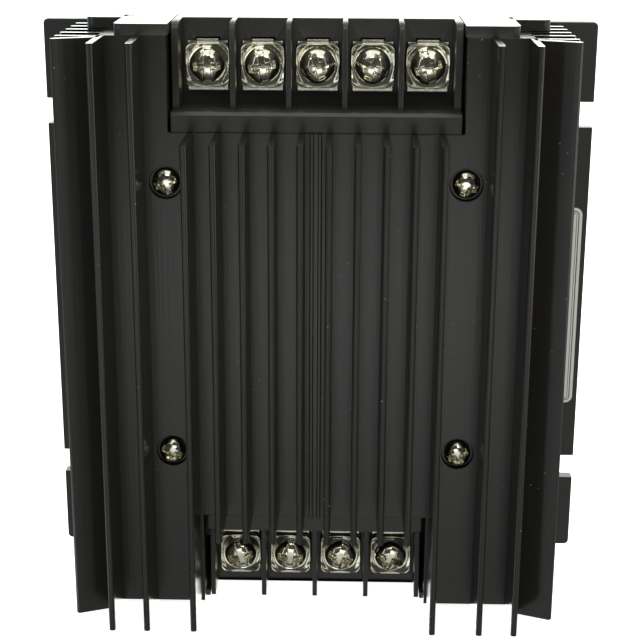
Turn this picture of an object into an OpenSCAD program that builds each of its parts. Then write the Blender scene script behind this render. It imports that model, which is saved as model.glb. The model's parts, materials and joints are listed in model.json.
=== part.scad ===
// Panel-mounting solid state relay for three phases. A U-shaped finned heat sink faces forwards
// and covers the electronics, a notched plate closes its back, and plastic caps close its ends.
// +Z runs up along the fins, -Y faces the user, +X is to the right. The origin is the centre of
// the mounting plate's back face. All sizes are in millimetres.

/* [Mounting plate] */
// Width of the plate beyond each side wall of the heat sink
plate_margin = 16.5; // [14:0.5:30]
// Thickness of the plate
plate_t = 3; // [2:0.5:5]
// Corner radius of the plate
plate_r = 1; // [0.5:0.5:5]
// Distance from the plate's side edge to the panel screw in a notch
notch_inset = 4.5; // [3.5:0.1:6]
// Distance between the mounting notches up the plate
notch_pitch_z = 81; // [50:1:95]
// Width of a mounting notch
notch_w = 5.4; // [4.5:0.1:7]

/* [Heat sink] */
// Length of the extrusion, and height of the plate behind it
sink_h = 120; // [115:1:200]
// Width of the extrusion's body, without its side fins
sink_w = 84; // [82:1:110]
// Distance from the plate's back face to the tips of the front fins
sink_depth = 47; // [45:0.5:60]
// Height of the front fins above the base
front_fin_h = 13.6; // [8:0.1:20]
// Length of the side fins beyond the body
side_fin_l = 8; // [4:0.5:12]
// Thickness of a fin
fin_t = 1.3; // [0.8:0.1:1.8]
// Thickness of the base under the front fins
base_t = 5; // [4:0.5:6]
// Thickness of the two side walls
wall_t = 3; // [2:0.5:4]
// Number of fins on each side wall
side_fins = 6; // [3:1:6]
// Distance between the tips of neighbouring side fins
side_pitch = 5.7; // [4:0.1:5.8]
// How far the front side fin's tip stands before its root
side_lean = 3; // [0:0.5:5]
// Number of fins in the middle group, an even number
mid_fins = 10; // [6:2:10]
// Distance between fins in the middle group
mid_pitch = 5.46; // [4.5:0.01:5.6]
// Distance from the middle to the fin beyond each screw channel
channel_fin_x = 34.2; // [33.5:0.1:36]
// Height of the two low ribs on the centre line
centre_rib_h = 1.2; // [0.5:0.1:3]

/* [Terminals] */
// Distance between poles
pole_pitch = 11; // [9:0.1:11]
// Number of poles in the top block
top_poles = 5; // [3:1:5]
// Number of poles in the bottom block
bottom_poles = 4; // [3:1:4]
// Thickness of the barriers between poles
barrier_t = 1; // [0.8:0.1:1.4]
// Thickness of the top block's outer walls
top_wall_t = 1.8; // [1:0.1:2]
// Distance of the top block's ridge above the middle of the sink
top_ridge_z = 41.3; // [38:0.1:44]
// Distance of the bottom block's ridge below the middle of the sink
bottom_ridge_z = 40; // [38:0.1:44]
// Height of the ridge that closes the inner end of each cell
ridge_h = 3.9; // [2:0.1:5]
// Distance from the plate's back face to the front of the barriers
barrier_depth = 29; // [26:0.5:32]
// Distance from the plate's back face to the floor of the cells
cell_depth = 20.1; // [19.5:0.1:21]
// Thickness of the block behind the floor of the cells
block_t = 6; // [5:0.1:6]
// Distance from the top cap's outer face to its line of screws
top_screw_inset = 9.2; // [8:0.1:10]
// Distance from the bottom cap's outer face to its line of screws
bottom_screw_inset = 7.4; // [7:0.1:10]
// Diameter of the terminal screws
term_screw_d = 3.5; // [2.5:0.1:3.5]
// How far a clamp washer shows beyond the head of its screw
washer_rim = 0.7; // [0.5:0.1:1.8]
// Head height of the terminal screws
term_head_h = 2.6; // [1.6:0.1:3]
// Length of a terminal screw below its head
term_screw_l = 6.4; // [5:0.1:6.6]
// Gap between a square clamp washer and the barrier beside it
washer_gap = 0.7; // [0.3:0.1:1]
// Thickness of the clamp washers
washer_t = 0.8; // [0.6:0.1:1.2]
// Height of a clamp washer's turned-up corners
washer_corner_h = 0.5; // [0.2:0.1:0.8]
// Gap between a terminal plate and the barrier beside it
term_plate_gap = 0.9; // [0.3:0.1:1.5]
// Thickness of a terminal plate
term_plate_t = 1.2; // [0.8:0.1:1.6]
// Width of a terminal plate's leg
term_leg_w = 4.5; // [3:0.1:6]

/* [Caps] */
// Thickness of the top cap
top_cap_t = 2.2; // [1.5:0.1:4]
// Thickness of the bottom cap
bottom_cap_t = 1.4; // [1.4:0.1:4]
// How far the wide rear part of both caps reaches beyond the side walls
cap_overhang = 4.2; // [2:0.1:6]
// Distance from the plate's back face to the front of a cap's wide part
cap_step_depth = 21; // [20.5:0.5:24]

/* [Fasteners] */
// Diameter of the screws that hold the parts together
screw_d = 3; // [2.5:0.1:3]
// Distance between the sink screws across the sink
sink_screw_pitch_x = 59.2; // [58:0.1:60]
// Height of the upper pair of sink screws above the middle
sink_screw_top_z = 31.4; // [25:0.1:33]
// Height of the lower pair of sink screws below the middle
sink_screw_bottom_z = 25.4; // [20:0.1:33]
// Depth of the counterbores for the sink screws
counterbore_h = 1; // [0.5:0.1:1.5]

/* [Electronics] */
// Thickness of the circuit board
board_t = 1.6; // [1:0.1:2]
// Distance from the plate's front face to the board
board_gap = 5; // [4.5:0.1:5.5]
// Width of a thyristor module
module_w = 14.5; // [11:0.5:14.5]
// Distance between thyristor modules
module_pitch = 18; // [17:0.5:18.5]
// Thickness of a thyristor module's case
module_h = 9.4; // [8:0.1:10]
// Thickness of the insulating pads under the modules
pad_t = 0.6; // [0.3:0.1:1]
// Thickness of the busbars
busbar_t = 1; // [0.8:0.1:1.2]
// Width of the busbars
busbar_w = 4; // [3:0.1:4.5]

/* [Label] */
// Width of the blank label
label_w = 12; // [6:0.5:12]
// Height of the blank label
label_h = 45; // [20:1:60]

/* [Hidden] */
root = 0.8;            // how far a rib or fin runs into what it stands on
fit_gap = 0.2;         // around pieces that drop into a recess
run_gap = 0.05;        // around a turning shank, on the radius
seat_gap = 0.04;       // under a head or a washer that turns or slides
bore_fn = 48;

half_h = sink_h / 2;
half_sink = sink_w / 2;
plate_w = sink_w + 2 * plate_margin;
notch_pitch_x = plate_w - 2 * notch_inset;
cap_w = sink_w + 2 * cap_overhang;
label_margin = 1.1;    // between the label and the plate's edge
label_drop = 2.3;      // how far the label's middle is below the plate's
label_t = 0.3;
base_front = -(sink_depth - front_fin_h);
base_back = base_front + base_t;
plate_front = -plate_t;
fin_chamfer = 0.3;
centre_rib_t = 0.8;
centre_rib_x = centre_rib_t;
port_x = half_sink - wall_t - 0.4;
port_y = -cap_step_depth + 3.4;
port_r = 3.4;
tap_r = screw_d / 2;
screw_head_d = screw_d * 1.87;
screw_head_h = screw_d * 0.7;
sink_screw_zs = [sink_screw_top_z, -sink_screw_bottom_z];

// The folded foot of each side wall, which takes the plate screws
foot_w = 6;
foot_h = 7;
foot_x = half_sink - foot_w / 2;
plate_screw_zs = [-half_h + 10, 0, half_h - 10];

// Side fins: the rear one clears the heads of the panel screws, and the front one leans forwards
side_fin_rear = plate_front - 8.5;
leaning_tip_y = side_fin_y(side_fins - 1);

// Terminal blocks
top_end = half_h + top_cap_t;
bottom_end = half_h + bottom_cap_t;
top_screw_z = top_end - top_screw_inset;
bottom_screw_z = bottom_end - bottom_screw_inset;
barrier_front = -barrier_depth;
cell_floor = -cell_depth;
block_back = cell_floor + block_t;
top_block_w = top_poles * pole_pitch - barrier_t + 2 * top_wall_t - 0.8;
bottom_block_w = bottom_poles * pole_pitch + barrier_t;
ridge_front = base_front + 0.4;
term_face = cell_floor - term_plate_t;
term_plate_w = pole_pitch - barrier_t - 2 * term_plate_gap;
washer_w = pole_pitch - barrier_t - 2 * washer_gap;
term_head_d = washer_w - 2 * washer_rim;
term_plate_h = washer_w + 1.7;
leg_t = 1;
leg_back = block_back + 1.2;
screw_hole_r = term_screw_d / 2 + 0.5;
washer_front = term_face - seat_gap - washer_t;
head_seat = washer_front - seat_gap;

// Electronics
board_back = plate_front - board_gap;
board_front = board_back - board_t;
board_w = sink_w - 2 * foot_w - 1;
board_h = sink_h - 1.2;
spacer_x = board_w / 2 - 4;
spacer_z = half_h - 20;
spacer_r = 2.7;
spacer_pin_r = 1.45;
board_screw_d = 2.5;
sheet_t = 0.35;
pad_front = base_back;
module_seat = base_back + pad_t;
clamp_bar_t = 3;
clamp_bar_h = 7;
module_top = sink_screw_top_z + clamp_bar_h / 2;
module_bottom = -sink_screw_bottom_z - clamp_bar_h / 2;
module_case_top = module_top - clamp_bar_h - fit_gap;
module_case_bottom = module_bottom + clamp_bar_h + fit_gap;
module_ledge_h = 4;
busbar_front = leg_back - busbar_t;
post_r = 2.4;
// Place of each module's two posts across its case, towards the pole that it serves
line_post_offsets = [-2, -4.5, -4.5];
load_post_offsets = [1.5, -4.5, -4.5];
clamp_bar_back = module_seat + module_ledge_h + clamp_bar_t;

// Turn of each terminal screw's driver slots, in degrees
top_angles = [88, 79, -23, 26, 72];
bottom_angles = [76, -85, -70, 22];

function side_fin_y(i) = side_fin_rear - i * side_pitch;
function pole_x(i, poles) = (i - (poles - 1) / 2) * pole_pitch;
function module_x(i) = (i - 1) * module_pitch;
function line_post_x(i) = module_x(i) + line_post_offsets[i];
function load_post_x(i) = module_x(i) + load_post_offsets[i];

// ---- Shared shapes ----

// A box between two opposite corners
module span(a, b) {
    translate([min(a.x, b.x), min(a.y, b.y), min(a.z, b.z)])
        cube([abs(b.x - a.x), abs(b.y - a.y), abs(b.z - a.z)]);
}

// A cylinder along Y from y0 to y1
module rod_y(x, z, y0, y1, r) {
    translate([x, max(y0, y1), z]) rotate([90, 0, 0]) cylinder(r = r, h = abs(y1 - y0), $fn = bore_fn);
}

// A flat shape in X and Z, with thickness from y0 to y1
module slab_y(y0, y1) {
    translate([0, max(y0, y1), 0]) rotate([90, 0, 0]) linear_extrude(abs(y1 - y0)) children();
}

// A rectangle with round corners
module round_rect(w, h, r) {
    square([w - 2 * r, h], center = true);
    square([w, h - 2 * r], center = true);
    for (sx = [-1, 1], sy = [-1, 1])
        translate([sx * (w / 2 - r), sy * (h / 2 - r)]) circle(r, $fn = bore_fn);
}

// One fin, standing on the X axis, with its tip's corners broken
module fin_2d(t, h) {
    polygon([[-t / 2, 0], [t / 2, 0], [t / 2, h - fin_chamfer], [t / 2 - fin_chamfer, h],
        [-t / 2 + fin_chamfer, h], [-t / 2, h - fin_chamfer]]);
}

// A pan-head screw pointing along +Y, with its head's seat at y = 0 and its driver slots turned
module pan_screw(d, head_d, head_h, l, turn, slot_w, slot_l) {
    rotate([0, turn, 0]) difference() {
        rotate([-90, 0, 0]) rotate_extrude($fn = bore_fn)
            polygon([[0, -head_h], [head_d * 0.22, -head_h], [head_d * 0.38, -head_h * 0.82],
                [head_d * 0.47, -head_h * 0.5], [head_d / 2, -head_h * 0.16], [head_d / 2, 0],
                [d / 2, 0], [d / 2, l - 0.4], [d / 2 - 0.4, l], [0, l]]);
        span([-slot_l / 2, -head_h - 1, -slot_w / 2], [slot_l / 2, -head_h * 0.5, slot_w / 2]);
        span([-slot_w / 2, -head_h - 1, -head_d * 0.36], [slot_w / 2, -head_h * 0.5, head_d * 0.36]);
    }
}

// A countersunk screw pointing along +Z, with the flat of its head at z = 0
module flat_screw(d, head_d, l, slot_w) {
    cone_h = (head_d - d) / 2;
    difference() {
        rotate_extrude($fn = bore_fn)
            polygon([[0, 0], [head_d / 2, 0], [d / 2, cone_h], [d / 2, l - 0.4], [d / 2 - 0.4, l], [0, l]]);
        for (turn = [0, 90])
            rotate(turn) cube([head_d * 0.56, slot_w, cone_h * 1.3], center = true);
    }
}

// The hole for a countersunk screw, from z = 0 inwards
module flat_screw_hole(d, head_d, l) {
    r = d / 2 + run_gap;
    rotate_extrude($fn = bore_fn)
        polygon([[0, -1], [head_d / 2 + fit_gap, -1], [head_d / 2 + fit_gap, 0],
            [r, head_d / 2 + fit_gap - r], [r, l], [0, l]]);
}

// ---- Plate and heat sink ----

module notch_2d(side, z) {
    translate([side * notch_pitch_x / 2, z]) circle(notch_w / 2, $fn = bore_fn);
    outer = plate_w / 2 + 1;
    translate([min(side * notch_pitch_x / 2, side * outer), z - notch_w / 2])
        square([outer - notch_pitch_x / 2, notch_w]);
}

module mounting_plate() {
    color([0.16, 0.16, 0.16]) difference() {
        slab_y(0, plate_front) difference() {
            round_rect(plate_w, sink_h, plate_r);
            for (side = [-1, 1], level = [-1, 1]) notch_2d(side, level * notch_pitch_z / 2);
        }
        for (side = [-1, 1], z = plate_screw_zs)
            translate([side * foot_x, 0, z]) rotate([90, 0, 0])
                flat_screw_hole(screw_d, screw_head_d, plate_t + 1);
        for (side = [-1, 1], level = [-1, 1])
            rod_y(side * spacer_x, level * spacer_z, plate_front - 1, plate_front + 1.5,
                spacer_pin_r + run_gap);
    }
}

// The U-shaped body of the extrusion, without fins, seen along Z
module sink_body_2d() {
    translate([-half_sink, base_front]) square([sink_w, base_t]);
    for (side = [-1, 1]) {
        wall_x = side * (half_sink - wall_t / 2);
        translate([wall_x - wall_t / 2, base_front]) square([wall_t, plate_front - base_front]);
        translate([side * foot_x - foot_w / 2, plate_front - foot_h]) square([foot_w, foot_h]);
        translate([side * port_x, port_y]) circle(port_r, $fn = bore_fn);
    }
}

module front_fins_2d() {
    for (i = [0:mid_fins - 1])
        translate([(i - (mid_fins - 1) / 2) * mid_pitch, base_front + root])
            rotate(180) fin_2d(fin_t, front_fin_h + root);
    for (side = [-1, 1], x = [channel_fin_x, half_sink - fin_t / 2])
        translate([side * x, base_front + root]) rotate(180) fin_2d(fin_t, front_fin_h + root);
    for (side = [-1, 1])
        translate([side * centre_rib_x, base_front + root])
            rotate(180) fin_2d(centre_rib_t, centre_rib_h + root);
}

module side_fins_2d() {
    for (side = [-1, 1]) {
        for (i = [0:side_fins - 2])
            translate([side * (half_sink - root), side_fin_y(i)])
                rotate(-90 * side) fin_2d(fin_t, side_fin_l + root);
        leaning_fin_2d(side);
    }
}

// The front side fin, which leans forwards and shares its root with the fin behind it
module leaning_fin_2d(side) {
    root_front = leaning_tip_y + side_lean;
    root_back = side_fin_y(side_fins - 2) - fin_t / 3;
    right = [[-root, root_front], [0, root_front], [side_fin_l - fin_chamfer, leaning_tip_y],
        [side_fin_l, leaning_tip_y + fin_chamfer], [side_fin_l, leaning_tip_y + fin_t],
        [0, root_back], [-root, root_back]];
    outline = side > 0 ? right : [for (i = [len(right) - 1:-1:0]) [-right[i].x, right[i].y]];
    translate([side * half_sink, 0]) polygon(outline);
}

module heat_sink() {
    top_cut = top_block_w / 2 + 0.5;
    bottom_cut = bottom_block_w / 2 + 0.9;
    color([0.13, 0.13, 0.12]) difference() {
        translate([0, 0, -half_h]) linear_extrude(sink_h) {
            sink_body_2d();
            front_fins_2d();
            side_fins_2d();
        }
        span([-top_cut, -sink_depth - 1, top_ridge_z], [top_cut, base_back + 1, half_h + 1]);
        span([-bottom_cut, -sink_depth - 1, -bottom_ridge_z], [bottom_cut, base_back + 1, -half_h - 1]);
        for (side = [-1, 1], z = sink_screw_zs) {
            x = side * sink_screw_pitch_x / 2;
            rod_y(x, z, base_front - 1, base_back + 1, tap_r + run_gap);
            rod_y(x, z, base_front - 1, base_front + counterbore_h, screw_head_d / 2 + 0.45);
        }
        for (side = [-1, 1]) {
            translate([side * port_x, port_y, 0])
                cylinder(r = tap_r + run_gap, h = sink_h + 2, center = true, $fn = bore_fn);
            for (z = plate_screw_zs)
                rod_y(side * foot_x, z, plate_front + 1, plate_front - foot_h - 1, tap_r + run_gap);
        }
    }
}

// ---- End caps ----

// Outline of a cap, seen along Z: a narrow front part out to ear_front, and a wide rear part
module cap_2d(ear_front, block_w) {
    ear_w = sink_w - 2 * wall_t;
    rear = plate_front - fit_gap;
    mid_y = (ear_front + rear) / 2;
    difference() {
        union() {
            translate([0, mid_y]) round_rect(ear_w, rear - ear_front, 1.5);
            translate([0, (rear - cap_step_depth) / 2]) round_rect(cap_w, cap_step_depth + rear, 1.5);
        }
        translate([-block_w / 2 - fit_gap, ear_front - 1])
            square([block_w + 2 * fit_gap, block_back + fit_gap - ear_front + 1]);
    }
}

// A cap that closes the upper end of the sink, with a tongue that drops in front of the plate
module cap(t, ear_front, block_w) {
    tongue_w = sink_w - 2 * foot_w - 6;
    difference() {
        union() {
            translate([0, 0, half_h]) linear_extrude(t) cap_2d(ear_front, block_w);
            span([-tongue_w / 2, plate_front - 1.8, half_h - 5],
                [tongue_w / 2, plate_front - 0.6, half_h + t / 2]);
        }
        for (side = [-1, 1])
            translate([side * port_x, port_y, half_h + t]) mirror([0, 0, 1])
                flat_screw_hole(screw_d, screw_head_d, t + 1);
    }
}

module top_cap() {
    color([0.17, 0.17, 0.17]) cap(top_cap_t, base_front, top_block_w);
}

module bottom_cap() {
    color([0.17, 0.17, 0.17]) mirror([0, 0, 1]) cap(bottom_cap_t, base_back, bottom_block_w);
}

// ---- Terminal blocks ----

// A barrier seen from the side, with its front outer corner cut back
module barrier(x, t, ridge_z, end_z) {
    translate([x - t / 2, 0, 0]) rotate([90, 0, 90]) linear_extrude(t)
        polygon([[cell_floor + root, ridge_z], [barrier_front, ridge_z], [barrier_front, end_z - 1.4],
            [barrier_front + 0.5, end_z - 0.4], [barrier_front + 1.3, end_z], [cell_floor + root, end_z]]);
}

// A row of screw cells that opens upwards, between ridge_z and end_z
module terminal_block(poles, outer_w, ridge_z, end_z, screw_z) {
    outer_t = (outer_w - (poles * pole_pitch - barrier_t)) / 2;
    leg_z = screw_z + term_plate_h / 2;
    difference() {
        union() {
            span([-outer_w / 2, cell_floor, ridge_z], [outer_w / 2, block_back, end_z]);
            rotate([90, 0, 90]) translate([0, 0, -outer_w / 2]) linear_extrude(outer_w)
                polygon([[cell_floor + root, ridge_z], [ridge_front, ridge_z],
                    [ridge_front, ridge_z + ridge_h - 0.6], [ridge_front + 0.8, ridge_z + ridge_h],
                    [cell_floor + root, ridge_z + ridge_h]]);
            for (i = [1:poles - 1]) barrier(pole_x(i, poles) - pole_pitch / 2, barrier_t, ridge_z, end_z);
            for (side = [-1, 1]) barrier(side * (outer_w - outer_t) / 2, outer_t, ridge_z, end_z);
        }
        for (i = [0:poles - 1]) {
            x = pole_x(i, poles);
            rod_y(x, screw_z, cell_floor - 1, block_back - 0.6, screw_hole_r);
            span([x - term_leg_w / 2 - fit_gap, cell_floor - 1, leg_z - leg_t - fit_gap],
                [x + term_leg_w / 2 + fit_gap, block_back + 1, leg_z + fit_gap]);
        }
    }
}

module top_terminal_block() {
    color([0.15, 0.15, 0.15])
        terminal_block(top_poles, top_block_w, top_ridge_z, top_end, top_screw_z);
}

module bottom_terminal_block() {
    color([0.15, 0.15, 0.15]) mirror([0, 0, 1])
        terminal_block(bottom_poles, bottom_block_w, bottom_ridge_z, bottom_end, bottom_screw_z);
}

// Plates with a threaded collar, and a leg that goes back through the block
module terminal_plates(poles, screw_z) {
    for (i = [0:poles - 1]) {
        x = pole_x(i, poles);
        low = screw_z - term_plate_h / 2;
        high = screw_z + term_plate_h / 2;
        difference() {
            union() {
                span([x - term_plate_w / 2, term_face, low],
                    [x + term_plate_w / 2, cell_floor, high - leg_t * 0.4]);
                span([x - term_leg_w / 2, term_face, high - leg_t], [x + term_leg_w / 2, leg_back, high]);
                rod_y(x, screw_z, cell_floor - term_plate_t / 2, cell_floor + 1.2, screw_hole_r - 0.1);
            }
            rod_y(x, screw_z, term_face - 1, cell_floor + 2, term_screw_d / 2 + run_gap);
        }
    }
}

module top_terminal_plates() {
    color([0.75, 0.74, 0.7]) terminal_plates(top_poles, top_screw_z);
}

module bottom_terminal_plates() {
    color([0.75, 0.74, 0.7]) mirror([0, 0, 1]) terminal_plates(bottom_poles, bottom_screw_z);
}

// A square washer whose four cut corners are turned up towards the screw's head
module clamp_washer(x, z) {
    half = washer_w / 2;
    cut = 1.6;
    color([0.8, 0.79, 0.74]) translate([x, washer_front, z]) difference() {
        union() {
            slab_y(0, washer_t) difference() {
                square(washer_w, center = true);
                for (turn = [45:90:315]) rotate(turn)
                    translate([half * sqrt(2) - cut / sqrt(2), -half]) square(washer_w);
            }
            for (turn = [45:90:315]) rotate([0, turn, 0])
                span([half * sqrt(2) - cut / sqrt(2) - 0.8, -washer_corner_h, -cut * 0.6],
                    [half * sqrt(2) - cut / sqrt(2), washer_t / 2, cut * 0.6]);
        }
        rod_y(0, 0, -1, washer_t + 1, term_screw_d / 2 + run_gap * 2);
    }
}

module terminal_screw(x, z, turn) {
    color([0.82, 0.8, 0.74]) translate([x, head_seat, z])
        pan_screw(term_screw_d, term_head_d, term_head_h, term_screw_l, turn, 1.1, term_head_d + 1);
}

module top_washer(i) { clamp_washer(pole_x(i, top_poles), top_screw_z); }
module bottom_washer(i) { clamp_washer(pole_x(i, bottom_poles), -bottom_screw_z); }
module top_screw(i) { terminal_screw(pole_x(i, top_poles), top_screw_z, top_angles[i]); }
module bottom_screw(i) { terminal_screw(pole_x(i, bottom_poles), -bottom_screw_z, bottom_angles[i]); }

// ---- Fasteners and label ----

module heat_sink_screws() {
    seat = base_front + counterbore_h;
    color([0.8, 0.8, 0.78]) for (side = [-1, 1], i = [0, 1])
        translate([side * sink_screw_pitch_x / 2, seat, sink_screw_zs[i]])
            pan_screw(screw_d, screw_head_d, screw_head_h, clamp_bar_back - seat,
                side * 20 + i * 45, 0.7, screw_head_d * 0.6);
}

module plate_screws() {
    color([0.7, 0.7, 0.7]) for (side = [-1, 1], z = plate_screw_zs)
        translate([side * foot_x, 0, z]) rotate([90, 0, 0])
            flat_screw(screw_d, screw_head_d, plate_t + foot_h - 1, 0.7);
}

module cap_screws() {
    color([0.7, 0.7, 0.7]) for (side = [-1, 1]) {
        translate([side * port_x, port_y, top_end]) mirror([0, 0, 1])
            flat_screw(screw_d, screw_head_d, 10, 0.7);
        translate([side * port_x, port_y, -bottom_end]) flat_screw(screw_d, screw_head_d, 10, 0.7);
    }
}

module label() {
    color([0.75, 0.76, 0.76]) translate([plate_w / 2 - label_margin - label_w / 2, 0, -label_drop])
        slab_y(plate_front, plate_front - label_t) round_rect(label_w, label_h, 1.6);
}

// ---- Electronics inside the sink ----

module circuit_board() {
    color([0.05, 0.3, 0.15]) difference() {
        span([-board_w / 2, board_front, -board_h / 2], [board_w / 2, board_back, board_h / 2]);
        for (side = [-1, 1], level = [-1, 1])
            rod_y(side * spacer_x, level * spacer_z, board_front - 1, board_back + 1,
                board_screw_d / 2 + 0.1);
    }
}

module insulating_sheet() {
    color([0.9, 0.88, 0.75]) difference() {
        span([-board_w / 2, plate_front, -half_h + 6], [board_w / 2, plate_front - sheet_t, half_h - 6]);
        for (side = [-1, 1], level = [-1, 1])
            rod_y(side * spacer_x, level * spacer_z, plate_front - 1, plate_front + 1, spacer_r + 0.3);
    }
}

module board_spacers() {
    color([0.85, 0.85, 0.85]) for (side = [-1, 1], level = [-1, 1]) {
        x = side * spacer_x;
        z = level * spacer_z;
        difference() {
            union() {
                rod_y(x, z, plate_front, board_back, spacer_r);
                rod_y(x, z, plate_front + 1.4, plate_front - 1, spacer_pin_r);
            }
            rod_y(x, z, board_back - 1, plate_front - 1, board_screw_d / 2 + run_gap);
        }
    }
}

module board_screws() {
    color([0.8, 0.8, 0.8]) for (side = [-1, 1], level = [-1, 1])
        translate([side * spacer_x, board_front, level * spacer_z])
            pan_screw(board_screw_d, 4.6, 1.6, board_t + board_gap - 2, 15 * side, 0.6, 2.8);
}

// A power module: a low base with ledges under the clamp bars, a raised case, and two terminal posts
module thyristor_module(i) {
    x = module_x(i);
    case_back = module_seat + module_h;
    color([0.12, 0.12, 0.13]) union() {
        span([x - module_w / 2, module_seat, module_bottom],
            [x + module_w / 2, module_seat + module_ledge_h, module_top]);
        span([x - module_w / 2, module_seat, module_case_bottom],
            [x + module_w / 2, case_back, module_case_top]);
        for (post = [[line_post_x(i), module_case_top - 4], [load_post_x(i), module_case_bottom + 4]])
            rod_y(post[0], post[1], case_back - 1, busbar_front, post_r);
    }
}

module insulating_pads() {
    color([0.9, 0.9, 0.88]) for (i = [0:2])
        span([module_x(i) - module_w / 2, pad_front, module_bottom],
            [module_x(i) + module_w / 2, module_seat, module_top]);
}

// Two bars across the module ledges, with feet that stand off the sink and take the sink screws
module module_clamp_bars() {
    bar_w = sink_screw_pitch_x + 6.6;
    color([0.6, 0.6, 0.58]) for (z = sink_screw_zs) difference() {
        union() {
            span([-bar_w / 2, module_seat + module_ledge_h, z - clamp_bar_h / 2 + fit_gap],
                [bar_w / 2, clamp_bar_back, z + clamp_bar_h / 2 - fit_gap]);
            for (side = [-1, 1])
                rod_y(side * sink_screw_pitch_x / 2, z, base_back + 0.15, clamp_bar_back, 3.1 - fit_gap);
        }
        for (side = [-1, 1])
            rod_y(side * sink_screw_pitch_x / 2, z, base_back - 1, clamp_bar_back + 1, tap_r + run_gap);
    }
}

// A flat strip from a terminal's leg, sideways at jog_z, to a module's post
module busbar(from_x, from_z, jog_z, to_x, to_z) {
    half = busbar_w / 2;
    up = sign(from_z - to_z);
    span([from_x - half, busbar_front, from_z], [from_x + half, leg_back, jog_z - up * half]);
    span([min(from_x, to_x) - half, busbar_front, jog_z - half],
        [max(from_x, to_x) + half, leg_back, jog_z + half]);
    span([to_x - half, busbar_front, jog_z], [to_x + half, leg_back, to_z - up * half]);
}

module line_busbars() {
    leg_z = top_screw_z + term_plate_h / 2 - leg_t;
    color([0.72, 0.45, 0.25]) for (i = [0:2])
        busbar(pole_x(i, top_poles), leg_z, half_h - 16, line_post_x(i), module_case_top - 4);
}

module load_busbars() {
    leg_z = bottom_screw_z + term_plate_h / 2 - leg_t;
    color([0.72, 0.45, 0.25]) for (i = [0:2])
        busbar(pole_x(i, bottom_poles), -leg_z, -half_h + 14, load_post_x(i), module_case_bottom + 4);
}

// Pins from the control terminals' legs to the circuit board
module control_pins() {
    color([0.8, 0.78, 0.7]) {
        for (i = [3:top_poles - 1])
            span([pole_x(i, top_poles) - 0.6, leg_back, top_screw_z + term_plate_h / 2 - leg_t],
                [pole_x(i, top_poles) + 0.6, board_front, top_screw_z + term_plate_h / 2]);
        for (i = [3:bottom_poles - 1])
            span([pole_x(i, bottom_poles) - 0.6, leg_back, -bottom_screw_z - term_plate_h / 2 + leg_t],
                [pole_x(i, bottom_poles) + 0.6, board_front, -bottom_screw_z - term_plate_h / 2]);
    }
}

module varistors() {
    color([0.1, 0.2, 0.5]) for (i = [0:2])
        translate([-board_w / 2 + 1, board_front - 5.6, module_x(i) * 0.8 + 3]) rotate([0, 90, 0]) {
            cylinder(r = 5, h = 4, $fn = bore_fn);
            for (s = [-1, 1])
                translate([s * 2.5, 0, 2]) rotate([-90, 0, 0]) cylinder(r = 0.4, h = 5.6, $fn = bore_fn);
        }
}

module snubber_capacitors() {
    color([0.85, 0.7, 0.2]) for (i = [0:2]) {
        z = module_x(i) * 0.8 + 3;
        span([board_w / 2 - 1, board_front, z - 6.5], [board_w / 2 - 6, board_front - 11, z + 6.5]);
    }
}

module snubber_resistors() {
    color([0.6, 0.55, 0.45]) for (i = [0:2])
        translate([board_w / 2 - 16, board_front - 2, -half_h + 10 + i * 6]) rotate([0, 90, 0])
            cylinder(r = 2, h = 9, $fn = bore_fn);
}

module optocouplers() {
    color([0.92, 0.92, 0.9]) for (i = [0:2]) {
        z = -half_h + 9 + i * 8;
        span([-board_w / 2 + 8, board_front, z - 3.2], [-board_w / 2 + 16.5, board_front - 3.5, z + 3.2]);
    }
}

module temperature_switch() {
    z = module_bottom - 5.5;
    color([0.75, 0.75, 0.72]) {
        rod_y(0, z, base_back, base_back + 5, 4.2);
        for (side = [-1, 1])
            span([side * 2 - 1, base_back + 4, z - 0.4], [side * 2 + 1, base_back + 9, z + 0.4]);
    }
}

mounting_plate();
heat_sink();
top_cap();
bottom_cap();
top_terminal_block();
bottom_terminal_block();
top_terminal_plates();
bottom_terminal_plates();
top_washer(0);  // clamp_washer_t1
top_washer(1);  // clamp_washer_t2
top_washer(2);  // clamp_washer_t3
top_washer(3);  // clamp_washer_t4
top_washer(4);  // clamp_washer_t5
bottom_washer(0);  // clamp_washer_b1
bottom_washer(1);  // clamp_washer_b2
bottom_washer(2);  // clamp_washer_b3
bottom_washer(3);  // clamp_washer_b4
top_screw(0);  // terminal_screw_t1
top_screw(1);  // terminal_screw_t2
top_screw(2);  // terminal_screw_t3
top_screw(3);  // terminal_screw_t4
top_screw(4);  // terminal_screw_t5
bottom_screw(0);  // terminal_screw_b1
bottom_screw(1);  // terminal_screw_b2
bottom_screw(2);  // terminal_screw_b3
bottom_screw(3);  // terminal_screw_b4
heat_sink_screws();
plate_screws();
cap_screws();
label();
circuit_board();
insulating_sheet();
board_spacers();
board_screws();
thyristor_module(0);  // thyristor_module_1
thyristor_module(1);  // thyristor_module_2
thyristor_module(2);  // thyristor_module_3
insulating_pads();
module_clamp_bars();
line_busbars();
load_busbars();
control_pins();
varistors();
snubber_capacitors();
snubber_resistors();
optocouplers();
temperature_switch();
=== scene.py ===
"""A three-phase solid state relay for a control panel, seen from its front. A black finned
extrusion covers the electronics, a notched plate closes its back, and plastic caps and
barrier terminal blocks close its two ends."""

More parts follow.
